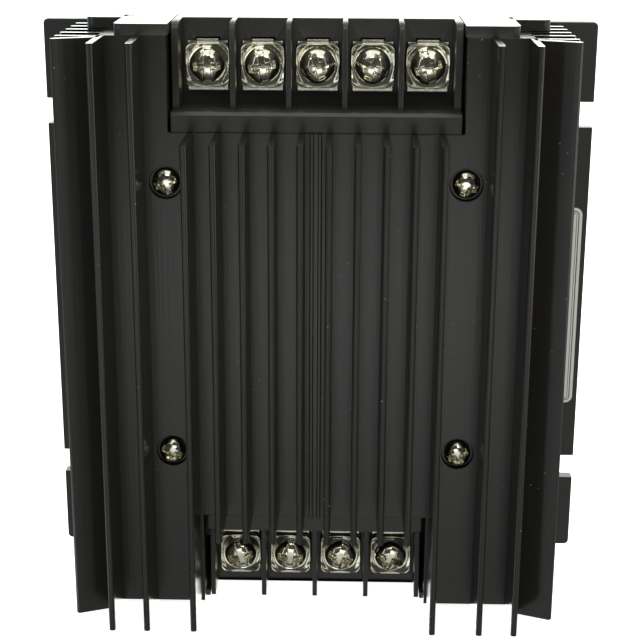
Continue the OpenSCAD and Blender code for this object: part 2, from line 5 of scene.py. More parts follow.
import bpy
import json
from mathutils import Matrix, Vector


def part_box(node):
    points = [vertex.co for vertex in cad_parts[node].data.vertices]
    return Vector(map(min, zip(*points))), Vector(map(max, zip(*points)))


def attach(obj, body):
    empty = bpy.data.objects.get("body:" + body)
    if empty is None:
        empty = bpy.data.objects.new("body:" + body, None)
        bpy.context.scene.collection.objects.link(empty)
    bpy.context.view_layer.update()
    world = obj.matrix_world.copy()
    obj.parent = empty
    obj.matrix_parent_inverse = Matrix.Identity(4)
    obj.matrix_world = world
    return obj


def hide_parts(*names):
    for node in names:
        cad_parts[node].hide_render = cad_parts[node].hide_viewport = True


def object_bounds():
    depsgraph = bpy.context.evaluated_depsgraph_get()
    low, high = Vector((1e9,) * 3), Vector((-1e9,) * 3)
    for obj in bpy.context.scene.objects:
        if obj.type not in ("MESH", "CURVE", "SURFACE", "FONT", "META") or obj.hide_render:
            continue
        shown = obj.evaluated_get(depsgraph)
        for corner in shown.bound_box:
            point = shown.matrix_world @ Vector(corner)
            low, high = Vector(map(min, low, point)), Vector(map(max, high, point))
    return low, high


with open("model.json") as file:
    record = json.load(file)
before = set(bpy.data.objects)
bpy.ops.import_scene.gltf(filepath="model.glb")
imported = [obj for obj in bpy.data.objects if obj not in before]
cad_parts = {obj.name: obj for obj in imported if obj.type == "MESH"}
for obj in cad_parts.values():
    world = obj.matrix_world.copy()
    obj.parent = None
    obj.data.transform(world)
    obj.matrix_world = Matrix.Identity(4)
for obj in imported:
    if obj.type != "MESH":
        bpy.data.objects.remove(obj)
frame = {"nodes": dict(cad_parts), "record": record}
cad_box = [list(corner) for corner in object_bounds()]

import json
import math

import bmesh
import bpy
from mathutils import Matrix, Vector

scene = bpy.context.scene


# ---- Studio ----
# A white table and backdrop under a tent of light, which no piece mirrors. The tent is brightest
# behind the relay, and in front only a low band glows, for the flat channels to mirror. Narrow
# strips at the sides and three softboxes draw the streaks on the nickel.

eye = Vector((0.0067, -0.3203, 0.0921))
eye_turn, eye_tilt, eye_roll = (math.radians(angle) for angle in (1.148, 17.175, 0.29))
ahead = Vector((-math.sin(eye_turn) * math.cos(eye_tilt), math.cos(eye_turn) * math.cos(eye_tilt),
                -math.sin(eye_tilt)))
level = Vector((math.cos(eye_turn), math.sin(eye_turn), 0))
upright = level.cross(ahead)
right = math.cos(eye_roll) * level + math.sin(eye_roll) * upright
over = math.cos(eye_roll) * upright - math.sin(eye_roll) * level

camera_data = bpy.data.cameras.new("camera")
camera_data.sensor_width = 36
camera_data.lens = 83.6
camera_data.clip_start = 0.01
camera = bpy.data.objects.new("camera", camera_data)
camera.matrix_world = Matrix.Translation(eye) @ Matrix((right, over, -ahead)).transposed().to_4x4()
scene.collection.objects.link(camera)
scene.camera = camera


def new_material(name):
    """A node material, and its tree and shader."""
    material = bpy.data.materials.new(name)
    material.use_nodes = True
    return material, material.node_tree, material.node_tree.nodes["Principled BSDF"]


def add(tree, kind, **settings):
    """One node, with its properties and the defaults of its inputs set by name."""
    node = tree.nodes.new(kind)
    for key, value in settings.items():
        if key in node.inputs:
            node.inputs[key].default_value = value
        else:
            setattr(node, key, value)
    return node


def mesh_object(name, mesh):
    """A new object for a mesh, at the origin."""
    made = bpy.data.objects.new(name, mesh)
    scene.collection.objects.link(made)
    return made


floor_mesh = bpy.data.meshes.new("table_top")
floor_z = cad_box[0][2] - 0.0002
room = 3
corners = ((-room, -room), (room, -room), (room, room), (-room, room))
floor_mesh.from_pydata([(x, y, z) for z in (floor_z, floor_z + room) for x, y in corners], [],
                       [(0, 1, 2, 3)] + [(i, i + 4, (i + 1) % 4 + 4, (i + 1) % 4) for i in range(4)])
table = mesh_object("table_top", floor_mesh)
table.visible_glossy = table.visible_diffuse = table.visible_shadow = False
table_material, tree, shader = new_material("pale_table")
shader.inputs["Roughness"].default_value = 0.7
shader.inputs["Emission Color"].default_value = (1, 1, 1, 1)
shader.inputs["Emission Strength"].default_value = 0.93
grain = add(tree, "ShaderNodeTexNoise", Scale=9.0, Detail=3.0)
shade = add(tree, "ShaderNodeValToRGB")
shade.color_ramp.elements[0].color = (0.82, 0.82, 0.82, 1)
shade.color_ramp.elements[1].color = (0.86, 0.86, 0.86, 1)
tree.links.new(add(tree, "ShaderNodeTexCoord").outputs["Object"], grain.inputs["Vector"])
tree.links.new(grain.outputs["Fac"], shade.inputs["Fac"])
tree.links.new(shade.outputs["Color"], shader.inputs["Base Color"])
floor_mesh.materials.append(table_material)


def math_node(tree, operation, *values):
    """A sum or other operation on sockets and numbers. Returns its result."""
    node = add(tree, "ShaderNodeMath", operation=operation)
    for i, value in enumerate(values):
        if isinstance(value, (int, float)):
            node.inputs[i].default_value = value
        else:
            tree.links.new(value, node.inputs[i])
    return node.outputs[0]


def ramp(tree, value, low, high, top):
    """Rises smoothly from nothing to its top as a value goes from low to high."""
    node = add(tree, "ShaderNodeMapRange")
    node.interpolation_type = "SMOOTHSTEP"
    for key, number in (("From Min", low), ("From Max", high), ("To Min", 0.0), ("To Max", top)):
        node.inputs[key].default_value = number
    tree.links.new(value, node.inputs["Value"])
    return node.outputs["Result"]


tent = bpy.data.worlds.new("light_tent")
scene.world = tent
tent.use_nodes = True
tree = tent.node_tree
way = add(tree, "ShaderNodeSeparateXYZ")
tree.links.new(add(tree, "ShaderNodeTexCoord").outputs["Generated"], way.inputs["Vector"])
window_glow, rear_glow, top_glow, strip_glow, fill_glow = 4.5, 0.45, 1.3, 1.7, 0.07
band_glow, band_drop, strip_turns = 2.3, 1.8, 34.0
behind = math_node(tree, "ADD", ramp(tree, way.outputs["Y"], 0.78, 0.92, window_glow),
                   ramp(tree, way.outputs["Y"], -0.1, 0.5, rear_glow))
above = ramp(tree, way.outputs["Z"], 0.3, 0.8, top_glow)
depth = math_node(tree, "MULTIPLY", way.outputs["Z"], -1.0)
aside = math_node(tree, "ABSOLUTE", way.outputs["X"])
band = math_node(tree, "SUBTRACT", ramp(tree, depth, 0.14, 0.2, band_glow),
                 ramp(tree, depth, 0.2, 0.48, band_drop))
facing = math_node(tree, "MULTIPLY", math_node(tree, "SUBTRACT", 1.0, ramp(tree, aside, 0.06, 0.24, 0.85)),
                   math_node(tree, "SUBTRACT", 1.0, ramp(tree, way.outputs["Y"], -0.6, -0.2, 1.0)))
stripes = math_node(tree, "SINE", math_node(tree, "MULTIPLY", way.outputs["X"], strip_turns))
strips = math_node(tree, "MULTIPLY", ramp(tree, stripes, 0.55, 0.95, strip_glow),
                   ramp(tree, aside, 0.34, 0.5, 1.0))
light = math_node(tree, "MAXIMUM", math_node(tree, "MAXIMUM", behind, above), strips)
light = math_node(tree, "ADD", light, math_node(tree, "MULTIPLY", band, facing))
tree.links.new(math_node(tree, "ADD", light, fill_glow), tree.nodes["Background"].inputs["Strength"])
sides = add(tree, "ShaderNodeValToRGB")
sides.color_ramp.elements[0].color = (0.9, 1.0, 1.0, 1)
sides.color_ramp.elements[1].color = (1.0, 0.95, 0.86, 1)
tree.links.new(math_node(tree, "MULTIPLY_ADD", way.outputs["X"], 0.8, 0.5), sides.inputs["Fac"])
tree.links.new(sides.outputs["Color"], tree.nodes["Background"].inputs["Color"])

for name, place, width, height, power, colour in (
        ("left_softbox", (-0.62, -0.75, 0.2), 0.07, 0.8, 0.5, (0.85, 0.95, 1)),
        ("right_softbox", (0.62, -0.75, 0.2), 0.07, 0.8, 0.8, (1, 0.9, 0.68)),
        ("front_softbox", (0.1, -0.85, 0.62), 0.5, 0.12, 1.1, (1, 0.95, 0.82))):
    lamp = bpy.data.lights.new(name, "AREA")
    lamp.shape = "RECTANGLE"
    lamp.size, lamp.size_y = width, height
    lamp.energy = power
    lamp.color = colour
    softbox = bpy.data.objects.new(name, lamp)
    softbox.location = place
    softbox.rotation_euler = (-Vector(place)).to_track_quat("-Z", "Y").to_euler()
    scene.collection.objects.link(softbox)

scene.view_settings.view_transform = "Standard"


# ---- Mounting plate ----
# A 3 mm aluminium plate with four open notches for the panel's M5 screws. It is blanked,
# deburred all round and painted satin black.

MM = 0.001


def broken_edges(node, name, radius, rounds=2, sharp_above=28):
    """A finished copy of a CAD node with its outer edges rounded, which stands for the node."""
    work = bmesh.new()
    work.from_mesh(frame["nodes"][node].data)
    bmesh.ops.remove_doubles(work, verts=work.verts, dist=1e-6)
    bmesh.ops.dissolve_limit(work, angle_limit=math.radians(0.6), verts=work.verts, edges=work.edges)
    sharp = [edge for edge in work.edges if edge.is_manifold and edge.is_convex
             and edge.calc_face_angle(0) > math.radians(sharp_above)]
    bmesh.ops.bevel(work, geom=sharp, offset=radius, offset_type="OFFSET", segments=rounds, profile=0.6,
                    affect="EDGES", clamp_overlap=True)
    bmesh.ops.triangulate(work, faces=[face for face in work.faces if len(face.verts) > 4])
    mesh = bpy.data.meshes.new(name)
    work.to_mesh(mesh)
    work.free()
    mesh.shade_smooth()
    mesh.set_sharp_from_angle(angle=math.radians(16))
    return mesh_object(name, mesh)


def place_piece(piece, body, material, slot_name, *nodes):
    """Gives a finished piece its material and its body, and hides the CAD nodes that it stands for. Its slot
    name is not used.
    """
    piece.data.materials.clear()
    piece.data.materials.append(material)
    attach(piece, body)
    if nodes:
        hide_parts(*nodes)


def surface(name, low, high, roughness, spread, grain_size, relief, metal=0.0, stretch=(1, 1, 1),
            relief_depth=0.00002, specular=0.5):
    """A material whose tone and gloss drift between two shades, over a fine relief."""
    material, tree, shader = new_material(name)
    shader.inputs["Metallic"].default_value = metal
    shader.inputs["Specular IOR Level"].default_value = specular
    spot = add(tree, "ShaderNodeTexCoord")
    scaled = add(tree, "ShaderNodeMapping")
    scaled.inputs["Scale"].default_value = stretch
    tree.links.new(spot.outputs["Object"], scaled.inputs["Vector"])
    cloud = add(tree, "ShaderNodeTexNoise", Scale=grain_size, Detail=5.0, Roughness=0.62)
    tint = add(tree, "ShaderNodeValToRGB")
    tint.color_ramp.elements[0].position, tint.color_ramp.elements[1].position = 0.32, 0.7
    tint.color_ramp.elements[0].color, tint.color_ramp.elements[1].color = (*low, 1), (*high, 1)
    gloss = add(tree, "ShaderNodeMapRange")
    for key, value in (("To Min", roughness - spread), ("To Max", roughness + spread)):
        gloss.inputs[key].default_value = value
    fine = add(tree, "ShaderNodeTexNoise", Scale=relief, Detail=3.0, Roughness=0.6)
    bump = add(tree, "ShaderNodeBump", Strength=0.5, Distance=relief_depth)
    for texture in (cloud, fine):
        tree.links.new(scaled.outputs["Vector"], texture.inputs["Vector"])
    tree.links.new(cloud.outputs["Fac"], tint.inputs["Fac"])
    tree.links.new(cloud.outputs["Fac"], gloss.inputs["Value"])
    tree.links.new(tint.outputs["Color"], shader.inputs["Base Color"])
    tree.links.new(gloss.outputs["Result"], shader.inputs["Roughness"])
    tree.links.new(fine.outputs["Fac"], bump.inputs["Height"])
    tree.links.new(bump.outputs["Normal"], shader.inputs["Normal"])
    return material


plate_paint = surface("satin_black_paint", (0.017, 0.017, 0.016), (0.026, 0.026, 0.024), 0.42, 0.06, 90,
                      1400)
plate = broken_edges("mounting_plate", "painted_plate", 0.25 * MM)
place_piece(plate, "relay", plate_paint, "black_painted_plate", "mounting_plate")


# ---- Heat sink ----
# One aluminium extrusion, 120 mm long, sawn square and black anodised. Its U-shaped body carries
# fins in front and on both sides, and it is milled away at both ends for the terminal blocks.

sink_low, sink_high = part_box("heat_sink")
base_front = -33.4 * MM
base_back = -28.4 * MM
wall_outer, wall_inner = 42 * MM, 39 * MM
foot_inner, foot_front = 36 * MM, -10 * MM
plate_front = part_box("mounting_plate")[0].y
port_centre, port_radius = Vector((38.6 * MM, -17.6 * MM)), 3.4 * MM


def sink_outline():
    """Half of the body's outline from the front middle round to the inside of the base."""
    points = [(wall_outer, base_front), (wall_outer, plate_front), (foot_inner, plate_front),
              (foot_inner, foot_front), (wall_inner, foot_front)]
    for step in range(13):
        turn = math.radians(83 + step * (360 - 2 * 83) / 12)
        points.append((port_centre.x + port_radius * math.cos(turn),
                       port_centre.y + port_radius * math.sin(turn)))
    points.append((wall_inner, base_back))
    return points


def extruded(outline, low, high, name):
    """A closed prism over an outline in X and Y, between two heights."""
    count = len(outline)
    points = [(x, y, z) for z in (low, high) for x, y in outline]
    faces = [tuple(range(count)), tuple(range(count, 2 * count))]
    faces += [(i, (i + 1) % count, count + (i + 1) % count, count + i) for i in range(count)]
    work = bmesh.new()
    corners = [work.verts.new(point) for point in points]
    for face in faces:
        work.faces.new([corners[i] for i in face])
    bmesh.ops.recalc_face_normals(work, faces=work.faces)
    mesh = bpy.data.meshes.new(name)
    work.to_mesh(mesh)
    work.free()
    return mesh_object(name, mesh)


def box_object(name, low, high):
    return extruded([(low[0], low[1]), (high[0], low[1]), (high[0], high[1]), (low[0], high[1])], low[2],
                    high[2], name)


def applied(piece):
    """Replaces a piece's mesh with the result of its modifiers."""
    result = bpy.data.meshes.new_from_object(piece.evaluated_get(bpy.context.evaluated_depsgraph_get()))
    piece.modifiers.clear()
    piece.data = result
    return piece


def cut(piece, cutters):
    """Cuts solids out of a piece, and deletes them."""
    for cutter in cutters:
        hole = piece.modifiers.new("cut", "BOOLEAN")
        hole.operation = "DIFFERENCE"
        hole.solver = "EXACT"
        hole.object = cutter
    applied(piece)
    for cutter in cutters:
        bpy.data.objects.remove(cutter)
    return piece


def rounded(piece, radius, rounds=2, angle=35):
    """Rounds a piece's edges that are sharper than an angle."""
    bevel = piece.modifiers.new("round", "BEVEL")
    bevel.width = radius
    bevel.segments = rounds
    bevel.limit_method = "ANGLE"
    bevel.angle_limit = math.radians(angle)
    applied(piece)
    piece.data.shade_smooth()
    piece.data.set_sharp_from_angle(angle=math.radians(16))
    return piece


def drill(x, z, low, high, radius, around=32):
    """A drill along Y between two depths."""
    work = bmesh.new()
    bmesh.ops.create_cone(work, cap_ends=True, segments=around, radius1=radius, radius2=radius,
                          depth=high - low)
    bmesh.ops.rotate(work, verts=work.verts, matrix=Matrix.Rotation(math.radians(90), 3, "X"))
    bmesh.ops.translate(work, verts=work.verts, vec=(x, (low + high) / 2, z))
    mesh = bpy.data.meshes.new("drill")
    work.to_mesh(mesh)
    work.free()
    return mesh_object("drill", mesh)


half_outline = sink_outline()
outline = half_outline + [(-x, y) for x, y in reversed(half_outline)]
body = extruded(outline, sink_low.z, sink_high.z, "sink_body")

top_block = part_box("top_terminal_block")
bottom_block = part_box("bottom_terminal_block")
top_cut = (top_block[1].x + 0.5 * MM, top_block[0].z)
bottom_cut = (bottom_block[1].x + 0.9 * MM, bottom_block[1].z)
screw_low, screw_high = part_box("heat_sink_screws")
head_radius = 2.805 * MM
screw_x = screw_high.x - head_radius
screw_zs = (screw_high.z - head_radius, screw_low.z + head_radius)
reach = 1 * MM
cutters = [
    box_object("mill", (-top_cut[0], sink_low.y - reach, top_cut[1]),
               (top_cut[0], base_back + reach, sink_high.z + reach)),
    box_object("mill", (-bottom_cut[0], sink_low.y - reach, sink_low.z - reach),
               (bottom_cut[0], base_back + reach, bottom_cut[1])),
]
for side in (-1, 1):
    for z in screw_zs:
        cutters.append(drill(side * screw_x, z, base_front - reach, base_front + 1 * MM,
                             head_radius + 0.45 * MM, 40))
cut(body, cutters)
rounded(body, 0.18 * MM)


def socket(tree, name, kind, value):
    """A named input of a node group, with its default."""
    made = tree.interface.new_socket(name, in_out="INPUT", socket_type=kind)
    if value is not None:
        made.default_value = value
    return made


def geometry_tree(name, sizes):
    """An empty Geometry Nodes tree with named size inputs, a material input and a mesh output."""
    tree = bpy.data.node_groups.new(name, "GeometryNodeTree")
    tree.interface.new_socket("Geometry", in_out="OUTPUT", socket_type="NodeSocketGeometry")
    for key, value in sizes.items():
        if isinstance(value, int):
            socket(tree, key, "NodeSocketInt", value)
        elif isinstance(value, float):
            socket(tree, key, "NodeSocketFloat", value)
        else:
            socket(tree, key, "NodeSocketVector", value)
    socket(tree, "Material", "NodeSocketMaterial", None)
    start = tree.nodes.new("NodeGroupInput")
    end = tree.nodes.new("NodeGroupOutput")
    return tree, start, end


def finish_tree(tree, start, end, shape):
    """Makes a tree's shape real, gives it its material and sends it out."""
    real = tree.nodes.new("GeometryNodeRealizeInstances")
    paint = tree.nodes.new("GeometryNodeSetMaterial")
    tree.links.new(shape, real.inputs["Geometry"])
    tree.links.new(real.outputs["Geometry"], paint.inputs["Geometry"])
    tree.links.new(start.outputs["Material"], paint.inputs["Material"])
    tree.links.new(paint.outputs["Geometry"], end.inputs["Geometry"])


def grown(name, tree, material, **sizes):
    """A plain mesh object that a Geometry Nodes tree makes from these sizes."""
    piece = mesh_object(name, bpy.data.meshes.new(name))
    grow = piece.modifiers.new("grow", "NODES")
    grow.node_group = tree
    for item in tree.interface.items_tree:
        if item.item_type == "SOCKET" and item.in_out == "INPUT":
            if item.name == "Material":
                grow[item.identifier] = material
            elif item.name in sizes:
                grow[item.identifier] = sizes[item.name]
    return applied(piece)


def vector_of(tree, *values):
    """A vector of three sockets or numbers."""
    node = tree.nodes.new("ShaderNodeCombineXYZ")
    for i, value in enumerate(values):
        if isinstance(value, (int, float)):
            node.inputs[i].default_value = value
        else:
            tree.links.new(value, node.inputs[i])
    return node.outputs[0]


def fin_row_tree():
    """A row of like fins. Each fin is an outline with a round tip, swept along its length."""
    tree, start, end = geometry_tree("fin_row", {
        "Count": 2, "Step": (0.01, 0.0, 0.0), "First": (0.0, 0.0, 0.0), "Thickness": 0.001, "Height": 0.01,
        "Low": 0.0, "High": 0.1, "Tip Radius": 0.0003, "Turn": 0.0})
    size = start.outputs
    outline = tree.nodes.new("GeometryNodeCurvePrimitiveQuadrilateral")
    tree.links.new(size["Thickness"], outline.inputs["Width"])
    tree.links.new(size["Height"], outline.inputs["Height"])
    fillet = add(tree, "GeometryNodeFilletCurve", mode="POLY")
    fillet.inputs["Count"].default_value = 3
    tree.links.new(outline.outputs["Curve"], fillet.inputs["Curve"])
    tree.links.new(size["Tip Radius"], fillet.inputs["Radius"])
    rooted = tree.nodes.new("GeometryNodeTransform")
    tree.links.new(fillet.outputs["Curve"], rooted.inputs["Geometry"])
    tree.links.new(vector_of(tree, 0.0, math_node(tree, "MULTIPLY", size["Height"], 0.5), 0.0),
                   rooted.inputs["Translation"])
    path = tree.nodes.new("GeometryNodeCurvePrimitiveLine")
    tree.links.new(vector_of(tree, 0.0, 0.0, size["Low"]), path.inputs["Start"])
    tree.links.new(vector_of(tree, 0.0, 0.0, size["High"]), path.inputs["End"])
    sweep = tree.nodes.new("GeometryNodeCurveToMesh")
    sweep.inputs["Fill Caps"].default_value = True
    tree.links.new(path.outputs["Curve"], sweep.inputs["Curve"])
    tree.links.new(rooted.outputs["Geometry"], sweep.inputs["Profile Curve"])
    row = add(tree, "GeometryNodeMeshLine", mode="OFFSET")
    tree.links.new(size["Count"], row.inputs["Count"])
    tree.links.new(size["First"], row.inputs["Start Location"])
    tree.links.new(size["Step"], row.inputs["Offset"])
    copies = tree.nodes.new("GeometryNodeInstanceOnPoints")
    tree.links.new(row.outputs["Mesh"], copies.inputs["Points"])
    tree.links.new(sweep.outputs["Mesh"], copies.inputs["Instance"])
    tree.links.new(vector_of(tree, 0.0, 0.0, size["Turn"]), copies.inputs["Rotation"])
    finish_tree(tree, start, end, copies.outputs["Instances"])
    return tree


def anodised():
    """Black anodised aluminium: fine drawn lines along Z, and pale specks of dust."""
    material, tree, shader = new_material("black_anodising")
    shader.inputs["Specular IOR Level"].default_value = 0.55
    spot = add(tree, "ShaderNodeTexCoord")
    along = add(tree, "ShaderNodeMapping")
    along.inputs["Scale"].default_value = (1, 1, 0.012)
    tree.links.new(spot.outputs["Object"], along.inputs["Vector"])
    drawn = add(tree, "ShaderNodeTexNoise", Scale=2600.0, Detail=4.0, Roughness=0.7)
    broad = add(tree, "ShaderNodeTexNoise", Scale=140.0, Detail=3.0)
    dust = add(tree, "ShaderNodeTexVoronoi", Scale=420.0, Randomness=1.0)
    tree.links.new(along.outputs["Vector"], drawn.inputs["Vector"])
    tree.links.new(spot.outputs["Object"], broad.inputs["Vector"])
    tree.links.new(spot.outputs["Object"], dust.inputs["Vector"])
    tint = add(tree, "ShaderNodeValToRGB")
    tint.color_ramp.elements[0].color = (0.0095, 0.0092, 0.0075, 1)
    tint.color_ramp.elements[1].color = (0.017, 0.0165, 0.0135, 1)
    mixed = math_node(tree, "MULTIPLY_ADD", broad.outputs["Fac"], 0.6,
                      math_node(tree, "MULTIPLY", drawn.outputs["Fac"], 0.4))
    tree.links.new(mixed, tint.inputs["Fac"])
    specks = math_node(tree, "LESS_THAN", dust.outputs["Distance"], 0.07)
    rare = add(tree, "ShaderNodeTexNoise", Scale=75.0, Detail=1.0)
    tree.links.new(spot.outputs["Object"], rare.inputs["Vector"])
    seen = math_node(tree, "MULTIPLY", specks, math_node(tree, "GREATER_THAN", rare.outputs["Fac"], 0.57))
    blend = add(tree, "ShaderNodeMix", data_type="RGBA")
    tree.links.new(seen, blend.inputs["Factor"])
    tree.links.new(tint.outputs["Color"], blend.inputs[6])
    blend.inputs[7].default_value = (0.2, 0.19, 0.17, 1)
    tree.links.new(blend.outputs[2], shader.inputs["Base Color"])
    gloss = add(tree, "ShaderNodeMapRange")
    gloss.inputs["To Min"].default_value = 0.19
    gloss.inputs["To Max"].default_value = 0.29
    tree.links.new(drawn.outputs["Fac"], gloss.inputs["Value"])
    tree.links.new(gloss.outputs["Result"], shader.inputs["Roughness"])
    bump = add(tree, "ShaderNodeBump", Strength=0.55, Distance=0.00003)
    tree.links.new(drawn.outputs["Fac"], bump.inputs["Height"])
    tree.links.new(bump.outputs["Normal"], shader.inputs["Normal"])
    return material


black_anodising = anodised()
fin_tree = fin_row_tree()
fin_t, root = 1.3 * MM, 0.8 * MM
tip_radius = 0.55 * MM
front_h = base_front - sink_low.y + root
mid_count, mid_pitch = 10, 5.46 * MM
channel_fin, corner_fin = 34.2 * MM, wall_outer - fin_t / 2
side_count, side_pitch = 5, 5.7 * MM
side_rear = plate_front - 8.5 * MM
side_h = sink_high.x - wall_outer + root
across = Vector((1, 0, 0))
long_fin = {"Thickness": fin_t, "Height": front_h, "Low": sink_low.z, "High": sink_high.z,
            "Tip Radius": tip_radius, "Turn": math.pi}


def fin_row(name, count, first, step, **sizes):
    return grown(name, fin_tree, black_anodising, **{"Count": count, "First": first, "Step": step, **sizes})


mid_first = -(mid_count - 1) / 2 * mid_pitch
fin_rows = [
    fin_row("middle_fins", mid_count - 2, (mid_first + mid_pitch, base_front + root, 0), across * mid_pitch,
            **{**long_fin, "Low": bottom_cut[1], "High": top_cut[1]}),
    fin_row("block_side_fins", 2, (mid_first, base_front + root, 0), across * -2 * mid_first,
            **{**long_fin, "High": top_cut[1]}),
    fin_row("channel_fins", 2, (-channel_fin, base_front + root, 0), across * 2 * channel_fin, **long_fin),
    fin_row("corner_fins", 2, (-corner_fin, base_front + root, 0), across * 2 * corner_fin, **long_fin),
    fin_row("centre_ribs", 2, (-0.8 * MM, base_front + root, 0), across * 1.6 * MM,
            **{**long_fin, "Low": bottom_cut[1], "High": top_cut[1], "Thickness": 0.8 * MM, "Height": 2 * MM,
               "Tip Radius": 0.2 * MM}),
]
for side in (-1, 1):
    fin_rows.append(fin_row("side_fins", side_count, (side * (wall_outer - root), side_rear, 0),
                            (0, -side_pitch, 0),
                            **{**long_fin, "Height": side_h, "Turn": -side * math.pi / 2}))

tip_y = side_rear - side_count * side_pitch
root_back = side_rear - (side_count - 1) * side_pitch - fin_t / 3
for side in (-1, 1):
    lean = [(wall_outer - root, tip_y + 3 * MM), (wall_outer, tip_y + 3 * MM),
            (sink_high.x - tip_radius, tip_y),
            (sink_high.x, tip_y + tip_radius), (sink_high.x, tip_y + fin_t), (wall_outer, root_back),
            (wall_outer - root, root_back)]
    leaning = extruded([(side * x, y) for x, y in lean], sink_low.z, sink_high.z, "leaning_fin")
    fin_rows.append(rounded(leaning, 0.15 * MM))

joined = bmesh.new()
for part in [body] + fin_rows:
    joined.from_mesh(part.data)
    bpy.data.objects.remove(part)
sink_mesh = bpy.data.meshes.new("finned_extrusion")
joined.to_mesh(sink_mesh)
joined.free()
sink_mesh.shade_smooth()
sink_mesh.set_sharp_from_angle(angle=math.radians(24))
sink = mesh_object("finned_extrusion", sink_mesh)
flat_faces = sink.modifiers.new("flat_faces", "WEIGHTED_NORMAL")
flat_faces.keep_sharp = True
applied(sink)
place_piece(sink, "relay", black_anodising, "black_anodised_aluminium", "heat_sink")


# ---- End caps ----
# Two black mouldings close the ends of the extrusion. The upper one has an ear on each side of
# its terminal block, and each cap is held by two countersunk screws in the sink's screw ports.

moulded_black = surface("moulded_black_plastic", (0.024, 0.024, 0.022), (0.038, 0.038, 0.034), 0.28, 0.06,
                        60, 2600, relief_depth=0.00004)
for node in ("top_cap", "bottom_cap"):
    cap = broken_edges(node, node + "_moulding", 0.35 * MM, 3)
    place_piece(cap, "relay", moulded_black, "black_moulded_plastic", node)


# ---- Terminal blocks ----
# Barrier blocks moulded in black glass-filled plastic: a floor, a ridge at the inner end and thin
# walls between the poles, all with small moulded radii.

block_black = surface("terminal_black_plastic", (0.018, 0.018, 0.016), (0.032, 0.032, 0.029), 0.3, 0.07, 80,
                      3200, relief_depth=0.00003)
for node in ("top_terminal_block", "bottom_terminal_block"):
    block = broken_edges(node, node + "_moulding", 0.2 * MM, 2)
    place_piece(block, "relay", block_black, "black_terminal_plastic", node)


# ---- Terminal plates ----
# Pressed brass plates, nickel plated, one in each cell. A leg at the outer end goes back through
# the block to the busbars and the circuit board.

nickel = surface("nickel_plating", (0.5, 0.5, 0.43), (0.68, 0.67, 0.58), 0.15, 0.05, 260, 2400, metal=1.0,
                 relief_depth=0.00001)
for node in ("top_terminal_plates", "bottom_terminal_plates"):
    plates = broken_edges(node, node + "_pressed", 0.15 * MM, 2)
    place_piece(plates, "relay", nickel, "nickel_plated_brass", node)


# ---- Terminal screws ----
# Nine M3.5 screws with a head that takes a flat or a cross driver. Each is cold headed, thread
# rolled and nickel plated, and it turns in its washer.

bright_nickel = surface("bright_nickel_steel", (0.6, 0.58, 0.47), (0.84, 0.81, 0.68), 0.075, 0.035, 500,
                        1500, metal=1.0, relief_depth=0.00003)


def smooth_band(tree, value, half, edge):
    """One inside a band about zero, falling to nothing over an edge."""
    band = add(tree, "ShaderNodeMapRange")
    band.interpolation_type = "SMOOTHSTEP"
    tree.links.new(math_node(tree, "ABSOLUTE", value), band.inputs["Value"])
    for key, source in (("From Min", math_node(tree, "SUBTRACT", half, edge)),
                        ("From Max", math_node(tree, "ADD", half, edge))):
        tree.links.new(source, band.inputs[key])
    band.inputs["To Min"].default_value = 1.0
    band.inputs["To Max"].default_value = 0.0
    return band.outputs["Result"]


def polar_sheet(tree, rings, spokes):
    """A unit grid, and its two coordinates from nothing to one: along the rings and round the spokes."""
    sheet = add(tree, "GeometryNodeMeshGrid")
    sheet.inputs["Size X"].default_value = sheet.inputs["Size Y"].default_value = 1.0
    sheet.inputs["Vertices X"].default_value = rings
    sheet.inputs["Vertices Y"].default_value = spokes + 1
    place = add(tree, "ShaderNodeSeparateXYZ")
    tree.links.new(tree.nodes.new("GeometryNodeInputPosition").outputs["Position"], place.inputs[0])
    return (sheet.outputs["Mesh"], math_node(tree, "ADD", place.outputs["X"], 0.5),
            math_node(tree, "ADD", place.outputs["Y"], 0.5))


def moved(tree, shape, position):
    """A shape with its points put at new positions."""
    node = tree.nodes.new("GeometryNodeSetPosition")
    tree.links.new(shape, node.inputs["Geometry"])
    tree.links.new(position, node.inputs["Position"])
    return node.outputs["Geometry"]


